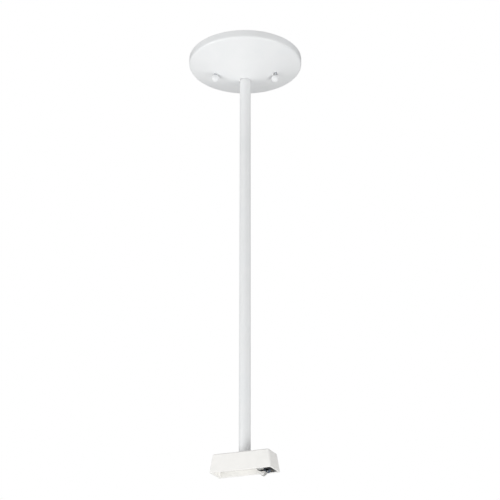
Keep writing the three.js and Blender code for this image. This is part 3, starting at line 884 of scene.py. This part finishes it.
def bushing_mesh(low, high):
    """A snap-in bushing: a rounded flange and a sleeve with a small catch."""
    bore, sleeve, flange = 3.1 * MM, 3.6 * MM, 4.8 * MM
    corners = [
        (bore, high, 0.4 * MM),
        (flange, high, 0.35 * MM),
        (flange, high - 1 * MM, 0.2 * MM),
        (sleeve, high - 1 * MM, 0.1 * MM),
        (sleeve, low + 1.6 * MM, 0.1 * MM),
        (sleeve + 0.2 * MM, low + 1.2 * MM, 0.1 * MM),
        (sleeve - 0.15 * MM, low, 0.1 * MM),
        (bore, low, 0.15 * MM),
    ]
    return turned(rounded(corners, 0, 5))


def ground_screw_mesh(low, high):
    """A hexagonal washer-head screw, its head down, with a driver slot across it."""
    flange_r, flats = 4.3 * MM, 6.93 * MM
    flange_top = low + 3.2 * MM
    seat = flange_top - 0.8 * MM
    crown = flats / 2 * 0.93
    head = skin(
        [
            circle(0, low, HEX_POINTS),
            circle(crown, low, HEX_POINTS),
            hex_ring(flats, lambda r: low + 0.55 * (r - crown)),
            hex_ring(flats, lambda r: seat - 0.15 * MM),
            circle(flange_r - 0.3 * MM, seat, HEX_POINTS),
            circle(flange_r, seat + 0.25 * MM, HEX_POINTS),
            circle(flange_r, flange_top - 0.15 * MM, HEX_POINTS),
            circle(flange_r - 0.15 * MM, flange_top, HEX_POINTS),
            circle(0, flange_top, HEX_POINTS),
        ]
    )
    slot = block((-5 * MM, -0.5 * MM, low - 1 * MM), (5 * MM, 0.5 * MM, low + 0.9 * MM))
    shank = threaded_rod(1.9 * MM, flange_top - 0.4 * MM, high)
    screw = combined("UNION", combined("DIFFERENCE", head, slot), shank)
    return moved(screw, (0, GROUND_SCREW_Y, 0))


show("box_strap", box_strap_mesh())
show("canopy_strap", canopy_strap_mesh())
show("strap_lock_washer", toothed_washer_mesh(*span("strap_lock_washer")))
show("strap_nut", hex_nut(NUT_FLATS, NIPPLE_HOLE_R, *span("strap_nut")))
show("stem_jam_nut", hex_nut(NUT_FLATS, NIPPLE_HOLE_R, *span("stem_jam_nut"), 0.3))
show("top_nipple", threaded_tube(NIPPLE_R, NIPPLE_BORE_R, *span("top_nipple")))
show("wire_bushing", bushing_mesh(*span("wire_bushing")))
show("ground_screw", ground_screw_mesh(*span("ground_screw")))


# ---------------------------------------- stem and wires

STEM_R = 6 * MM
LEAD_R = 1.15 * MM
LEAD_RING_R = 1.72 * MM
LEAD_ANGLES = {"line": -120, "ground": 0, "neutral": 120}
CORE_R = 0.8 * MM
CUT_BACK = 0.15 * MM  # how far a wire's core stands out of its sleeve at the cut end


def stem_mesh(low, high):
    corners = [(NIPPLE_HOLE_R, low), (STEM_R, low), (STEM_R, high), (NIPPLE_HOLE_R, high)]
    return turned(rounded(corners, 0.35 * MM, 4), 96)


def lead_spot(which):
    angle = math.radians(LEAD_ANGLES[which])
    return LEAD_RING_R * math.cos(angle), LEAD_RING_R * math.sin(angle)


def strands(centre, low, high):
    """Seven copper strands, laid six round one."""
    strand_r = CORE_R / 3
    places = [(0, 0)] + [p[:2] for p in circle(2 * strand_r, 0, 6)]
    rods = []
    for x, y in places:
        spot = (centre[0] + x, centre[1] + y)
        rods.append(spindle([(0, low), (strand_r, low), (strand_r, high), (0, high)], 16, spot))
    return joined(*rods)


show("stem", stem_mesh(*span("stem")))
for which in LEAD_ANGLES:
    low, high = span(which + "_lead")
    cut_end = high - CUT_BACK
    sleeve = [(CORE_R, low), (LEAD_R, low), (LEAD_R, cut_end), (CORE_R, cut_end)]
    show(which + "_lead", turned(rounded(sleeve, 0.08 * MM, 2), 32, centre=lead_spot(which)))
    core = link("fine_" + which + "_lead_core", strands(lead_spot(which), low, high))
    core.data.materials.append(COPPER)
    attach(core, "hanger")


# ---------------------------------------- swivel in the connector's roof

show("bottom_nipple", threaded_tube(NIPPLE_R, NIPPLE_BORE_R, *span("bottom_nipple")))
show("bottom_lock_nut", hex_nut(LOCK_NUT_FLATS, NIPPLE_HOLE_R, *span("bottom_lock_nut")))


def flat_washer_mesh(node, outline, edge):
    low, high = span(node)
    flat = sheet(outline, [round_outline(NIPPLE_HOLE_R, HOLE_POINTS)])
    return moved(thickened(flat, high - low, edge=edge), (0, 0, high))


def stop_washer_outline():
    """A disc with a square tab towards -X."""
    disc_r, half_tab = 7.8 * MM, 1.5 * MM
    tab_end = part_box("stop_washer")[0].x
    start = math.pi - math.asin(half_tab / disc_r)
    disc = arc((0, 0), disc_r, -start, start, 60)
    return disc + [(tab_end, half_tab), (tab_end, -half_tab)]


show("friction_washer", flat_washer_mesh("friction_washer", round_outline(8 * MM, 64), 0.1 * MM))
show("stop_washer", flat_washer_mesh("stop_washer", stop_washer_outline(), 0.12 * MM))


# ---------------------------------------- connector housing

HOUSING_LOW, HOUSING_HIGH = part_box("connector_housing")
BLOCK_RIM, BLOCK_TOP = HOUSING_LOW.z, HOUSING_HIGH.z
END_DRAFT = 3 * MM
SIDE_DRAFT = 0.9 * MM
CORNER_R = 1.8 * MM
EDGE_R = 1.2 * MM
BLOCK_WALL = 1.8 * MM
BLOCK_ROOF = 2 * MM
END_LEDGE = 1.5 * MM
SIDE_STEP = 0.05 * MM  # so that the rings above and below the ledge stay apart along the sides
PLATE_HIGH = span("barrier_plate")[1]
LEDGE_Z = PLATE_HIGH + CLEARANCE
BOSS_R = 2.6 * MM
BOSS_DEPTH = 5.2 * MM
SCREW_HOLE_R = 1.3 * MM
LIVE_SCREW_X = 12.2 * MM
DEAD_SCREW_X = -25 * MM
SCREW_PLACES = [(LIVE_SCREW_X, 0), (DEAD_SCREW_X, 0)]
STOP_LUG_X = 8.5 * MM
STOP_LUG_WIDTH = 2.4 * MM
SUNK_IN = 0.5 * MM  # how far a boss or the lug reaches into the roof that it is joined to


def housing_ring(z, inset, radius, end_inset=None):
    """The housing's outline at a height, drawn in by insets from its drafted side and end faces."""
    end_inset = inset if end_inset is None else end_inset
    rise = (z - BLOCK_RIM) / (BLOCK_TOP - BLOCK_RIM)
    half_x = HOUSING_HIGH.x - END_DRAFT * rise - end_inset
    half_y = HOUSING_HIGH.y - SIDE_DRAFT * rise - inset
    return rectangle(half_x, half_y, radius, z, 8, 16, 8)


def edge_rings(steps=6):
    """The housing's rounded top edge, from the wall up to the top face."""
    for i in range(steps + 1):
        angle = math.pi / 2 * i / steps
        z = BLOCK_TOP - EDGE_R * (1 - math.sin(angle))
        yield housing_ring(z, EDGE_R * (1 - math.cos(angle)), CORNER_R)


def housing_mesh():
    """The shell as one closed skin, from the roof's hole over the outside and back up the inside."""
    roof = BLOCK_TOP - BLOCK_ROOF
    inner_r, soft = 0.8 * MM, 0.3 * MM
    in_wall, in_side, in_end = BLOCK_WALL, BLOCK_WALL + SIDE_STEP, BLOCK_WALL + END_LEDGE
    count = len(housing_ring(0, 0, CORNER_R))
    rings = [
        circle(NIPPLE_HOLE_R, BLOCK_TOP - soft, count),
        circle(NIPPLE_HOLE_R + soft, BLOCK_TOP, count),
        *reversed(list(edge_rings())),
        housing_ring(BLOCK_RIM + soft, 0, CORNER_R),
        housing_ring(BLOCK_RIM + soft * 0.3, soft * 0.3, CORNER_R),
        housing_ring(BLOCK_RIM, soft, CORNER_R),
        housing_ring(BLOCK_RIM, in_wall - soft, inner_r),
        housing_ring(BLOCK_RIM + soft * 0.3, in_wall - soft * 0.3, inner_r),
        housing_ring(BLOCK_RIM + soft, in_wall, inner_r),
        housing_ring(LEDGE_Z, in_wall, inner_r),
        housing_ring(LEDGE_Z, in_side, inner_r, in_end),
        housing_ring(roof - soft, in_side, inner_r, in_end),
        housing_ring(roof, in_side + soft, inner_r, in_end + soft),
        circle(NIPPLE_HOLE_R, roof, count),
    ]
    shell = skin(rings, closed=True)
    boss = [
        (0, LEDGE_Z + BOSS_DEPTH),
        (SCREW_HOLE_R, LEDGE_Z + BOSS_DEPTH),
        (SCREW_HOLE_R, LEDGE_Z),
        (BOSS_R, LEDGE_Z),
        (BOSS_R, roof + SUNK_IN),
        (0, roof + SUNK_IN),
    ]
    bosses = [spindle(boss, 40, place) for place in SCREW_PLACES]
    half_lug = STOP_LUG_WIDTH / 2
    lug_low = (STOP_LUG_X, -half_lug, span("stop_washer")[0] - 0.4 * MM)
    lug = block(lug_low, (LIVE_SCREW_X, half_lug, roof + SUNK_IN), 0.2 * MM)
    return combined("UNION", shell, *bosses, lug)


show("connector_housing", housing_mesh())


# ---------------------------------------- barrier plate, carrier and screws

SMALL_HOLE_POINTS = 24
CARRIER_LOW, CARRIER_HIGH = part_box("contact_carrier")
POCKET_ROOF = CARRIER_LOW.z + 2.2 * MM
LEAF_THICK = 0.5 * MM
LEAF_Z = POCKET_ROOF - CLEARANCE - LEAF_THICK / 2
LIVE_CORNER = (27 * MM, 4 * MM)  # where the cuts across the carrier's two corners start and end
FREE_CORNER = (20 * MM, 1.5 * MM)

# The leaves, all in millimetres: root is the place of the rivet, towards is the way along X that the leaf
# runs, and bow is its curve, in pairs of how far along it is and how low it hangs.
RIVET_HOLE_R = 1.1
RIVET_CLEAR = 1.4
POCKET_MARGIN = 0.5
POCKET_BEHIND, POCKET_AHEAD = 1.9, 0.6
FINGER_GAP = 0.9
FINGER_ROOT = 5.4
LEAF_STEP = 0.35
LEAVES = {
    "line": {
        "root": (25.4, -7.1),
        "towards": -1,
        "width": 5.6,
        "bow": [(-1.3, 0), (1.3, 0), (2.4, 1), (3.6, 1.6), (6.4, 1.9), (8.8, 1.7), (10.6, 1)],
    },
    "neutral": {
        "root": (26.2, 6.9),
        "towards": -1,
        "width": 4,
        "bow": [(-1.3, 0), (1.4, 0), (4, 1.7), (7.2, 4.6), (8.9, 5.4), (10.4, 5), (11.6, 3.7)],
    },
    "ground": {
        "root": (19.2, -0.2),
        "towards": 1,
        "width": 4.6,
        "bow": [(-1.3, 0), (1.5, 0), (3.2, 2), (4.8, 4.2), (5.8, 4.5), (6.8, 4.1), (8.6, 1.8)],
    },
}


def rivet_holes():
    roots = [leaf["root"] for leaf in LEAVES.values()]
    return [round_outline(RIVET_HOLE_R * MM, SMALL_HOLE_POINTS, (x * MM, y * MM)) for x, y in roots]


def barrier_plate_mesh():
    low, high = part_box("barrier_plate")
    outline = [p[:2] for p in rectangle(high.x, high.y, 0.8 * MM, 0)]
    screws = [round_outline(SCREW_HOLE_R, SMALL_HOLE_POINTS, place) for place in SCREW_PLACES]
    flat = sheet(outline, [*screws, *rivet_holes()])
    return moved(thickened(flat, high.z - low.z, edge=0.15 * MM), (0, 0, high.z))


def pocket(leaf):
    """The pocket that a leaf lies in, with round corners."""
    x, y = leaf["root"]
    half = leaf["width"] / 2 + POCKET_MARGIN
    tip = leaf["bow"][-1][0] + POCKET_AHEAD
    ends = sorted((x - leaf["towards"] * POCKET_BEHIND, x + leaf["towards"] * tip))
    low = (ends[0] * MM, (y - half) * MM, CARRIER_LOW.z - 1 * MM)
    return block(low, (ends[1] * MM, (y + half) * MM, POCKET_ROOF), 0.4 * MM)


def upright(outline, low, high):
    """A solid that stands on an outline."""
    return skin([[(x, y, z) for x, y in outline] for z in (low, high)])


def carrier_mesh():
    """A block with two opposite corners cut off, the leaves' pockets sunk in it and the rivets' holes."""
    low, high = CARRIER_LOW, CARRIER_HIGH
    corners = [
        (low.x, low.y),
        (LIVE_CORNER[0], low.y),
        (high.x, LIVE_CORNER[1]),
        (high.x, high.y),
        (FREE_CORNER[0], high.y),
        (low.x, FREE_CORNER[1]),
    ]
    body = upright(rounded(corners, 0.5 * MM), low.z, high.z)
    through = [upright(outline, low.z - MM, high.z + MM) for outline in rivet_holes()]
    return eased(combined("DIFFERENCE", body, *map(pocket, LEAVES.values()), *through), 0.14 * MM)


def pan_screw_mesh(low, high, x):
    """A pan-head screw, head down, with a cross recess and a tapping thread."""
    head_r, head_height = 2.4 * MM, 1.6 * MM
    seat = low + head_height
    corners = [
        (0, low),
        (1.7 * MM, low, 0.8 * MM),
        (head_r, low + 0.9 * MM, 0.5 * MM),
        (head_r, seat, 0.15 * MM),
        (0, seat),
    ]
    head = spindle(rounded(corners, 0, 5, closed=False), 48)
    arms = [
        block((-1.3 * MM, -0.3 * MM, low - MM), (1.3 * MM, 0.3 * MM, low + 0.95 * MM)),
        block((-0.3 * MM, -1.3 * MM, low - MM), (0.3 * MM, 1.3 * MM, low + 0.95 * MM)),
    ]
    shank = threaded_rod(1.0 * MM, seat - 0.3 * MM, high, 0.22 * MM, 0.9 * MM)
    return moved(combined("UNION", combined("DIFFERENCE", head, *arms), shank), (x, 0, 0))


show("barrier_plate", barrier_plate_mesh())
show("contact_carrier", carrier_mesh())
show("plate_screw_live", pan_screw_mesh(*span("plate_screw_live"), LIVE_SCREW_X))
show("plate_screw_dead", pan_screw_mesh(*span("plate_screw_dead"), DEAD_SCREW_X))


# ---------------------------------------- contacts and rivets


def spline(points, steps):
    """A smooth curve through points, every stretch cut into steps."""
    places = [Vector(p) for p in points]
    made = [places[0]]
    for i in range(len(places) - 1):
        before = places[max(i - 1, 0)]
        start, end = places[i], places[i + 1]
        after = places[min(i + 2, len(places) - 1)]
        for k in range(1, steps + 1):
            t = k / steps
            made.append(
                0.5 * (
                    2 * start
                    + (end - before) * t
                    + (2 * before - 5 * start + 4 * end - after) * t * t
                    + (3 * start - before - 3 * end + after) * t**3
                )
            )
    return made


def leaf_mesh(leaf, fingers):
    """A strip cut out flat with round corners, a rivet hole and, for fingers, a slit, then bent."""
    x, y = leaf["root"]
    curve = spline(leaf["bow"], 24)
    lengths = [0.0]
    for a, b in zip(curve, curve[1:]):
        lengths.append(lengths[-1] + (b - a).length)
    start = leaf["bow"][0][0]
    total = lengths[-1]
    half = leaf["width"] / 2

    def bent(s, across):
        """Where the point that lies s along the flat strip, and off its middle line, ends up."""
        reach = min(max(s - start, 0), total)
        i = max(k for k in range(len(lengths) - 1) if lengths[k] <= reach)
        share = (reach - lengths[i]) / (lengths[i + 1] - lengths[i])
        at = curve[i].lerp(curve[i + 1], min(share, 1))
        return (x + leaf["towards"] * at.x) * MM, (y + across) * MM, LEAF_Z - at.y * MM

    end = start + total
    corners = [(start, -half, 0.5), (end, -half, 0.9), (end, half, 0.9), (start, half, 0.5)]
    if fingers:
        gap = FINGER_GAP / 2
        corners = [
            (start, -half, 0.5),
            (end, -half, 0.7),
            (end, -gap, 0.6),
            (FINGER_ROOT, -gap, gap),
            (FINGER_ROOT, gap, gap),
            (end, gap, 0.6),
            (end, half, 0.7),
            (start, half, 0.5),
        ]
    outline = rounded(corners, 0, 5)
    dense = []
    for a, b in zip(outline, outline[1:] + outline[:1]):
        cuts = max(1, round((Vector(b) - Vector(a)).length / LEAF_STEP))
        dense += [tuple(Vector(a).lerp(Vector(b), k / cuts)) for k in range(cuts)]
    columns = int(total / LEAF_STEP)
    spots = [
        (start + total * i / columns, across)
        for i in range(1, columns)
        for across in (-0.6 * half, 0.6 * half)
        if abs(start + total * i / columns) > RIVET_CLEAR
    ]
    flat = sheet(dense, [round_outline(RIVET_HOLE_R, SMALL_HOLE_POINTS)], spots, bent)
    return thickened(flat, LEAF_THICK, side=0, edge=0.1 * MM)


def rivet_mesh(low, high, root):
    """A tubular rivet: a domed head under the leaf and a clenched end over the plate."""
    corners = [
        (0, low),
        (0.9 * MM, low, 0.5 * MM),
        (1.4 * MM, low + 0.4 * MM, 0.3 * MM),
        (1.4 * MM, low + 0.65 * MM, 0.05 * MM),
        (0.8 * MM, low + 0.65 * MM, 0.05 * MM),
        (0.8 * MM, high - 0.9 * MM, 0.05 * MM),
        (1.5 * MM, high - 0.9 * MM, 0.1 * MM),
        (1.4 * MM, high - 0.2 * MM, 0.3 * MM),
        (0.8 * MM, high, 0.2 * MM),
        (0.45 * MM, high - 0.5 * MM, 0.1 * MM),
        (0, high - 0.5 * MM),
    ]
    centre = (root[0] * MM, root[1] * MM)
    return spindle(rounded(corners, 0, 4, closed=False), 40, centre)


for which, leaf in LEAVES.items():
    show(which + "_contact", leaf_mesh(leaf, fingers=which == "neutral"))
    show(which + "_rivet", rivet_mesh(*span(which + "_rivet"), leaf["root"]))


# ---------------------------------------- wire tails in the connector

LEAD_SPLIT = span("line_lead")[0]
TAIL_Z = PLATE_HIGH + LEAD_R + CLEARANCE
WIRE_POINTS = 24
TAIL_PLACES = {  # in millimetres
    "line": [(1.4, -4.2), (6, -6.8), (12, -7.7), (18, -7.6), (23.3, -7.1)],
    "neutral": [(1.4, 4.2), (6, 7.2), (12, 8.1), (19, 8), (24, 7.1)],
    "ground": [(5.2, 1.7), (8.6, 4.2), (12.6, 4.9), (17, 2.4)],
}


def tail_mesh(which):
    """A wire from the stem's end, over in a bend and along the plate, as a swept round section."""
    x, y = lead_spot(which)
    places = [(px * MM, py * MM) for px, py in TAIL_PLACES[which]]
    bend = (x + (places[0][0] - x) * 0.25, y + (places[0][1] - y) * 0.25, TAIL_Z + 0.9 * MM)
    route = spline(
        [
            (x, y, LEAD_SPLIT - CLEARANCE),
            (x, y, LEAD_SPLIT - 2.4 * MM),
            (x, y, TAIL_Z + 3 * MM),
            bend,
            *[(px, py, TAIL_Z) for px, py in places],
        ],
        8,
    )
    rings = []
    angles = [2 * math.pi * k / WIRE_POINTS for k in range(WIRE_POINTS)]
    side = Vector((1, 0, 0))
    for i, at in enumerate(route):
        ahead = (route[min(i + 1, len(route) - 1)] - route[max(i - 1, 0)]).normalized()
        side = (side - ahead * side.dot(ahead)).normalized()
        up = ahead.cross(side)
        rings.append([tuple(at + LEAD_R * (side * math.cos(a) + up * math.sin(a))) for a in angles])
    return skin(rings)


for which in LEAD_ANGLES:
    show(which + "_tail", tail_mesh(which))


# ---------------------------------------- floor

FLOOR_HALF = 20.0


def make_floor():
    """A pale floor far below, which lights the object from underneath."""
    bm = bmesh.new()
    half = FLOOR_HALF
    corners = [(-half, -half), (half, -half), (half, half), (-half, half)]
    bm.faces.new([bm.verts.new((x, y, FLOOR_HEIGHT)) for x, y in corners])
    floor = link("floor", mesh_from(bm))
    floor.data.materials.append(
        surface(
            "pale_floor",
            colours=[(0.9, 0.9, 0.9), (0.93, 0.93, 0.93)],
            patch=0.8,
            roughness=(0.7, 0.8),
            grain=[(4 * MM, 0.05 * MM)],
        )
    )


make_floor()
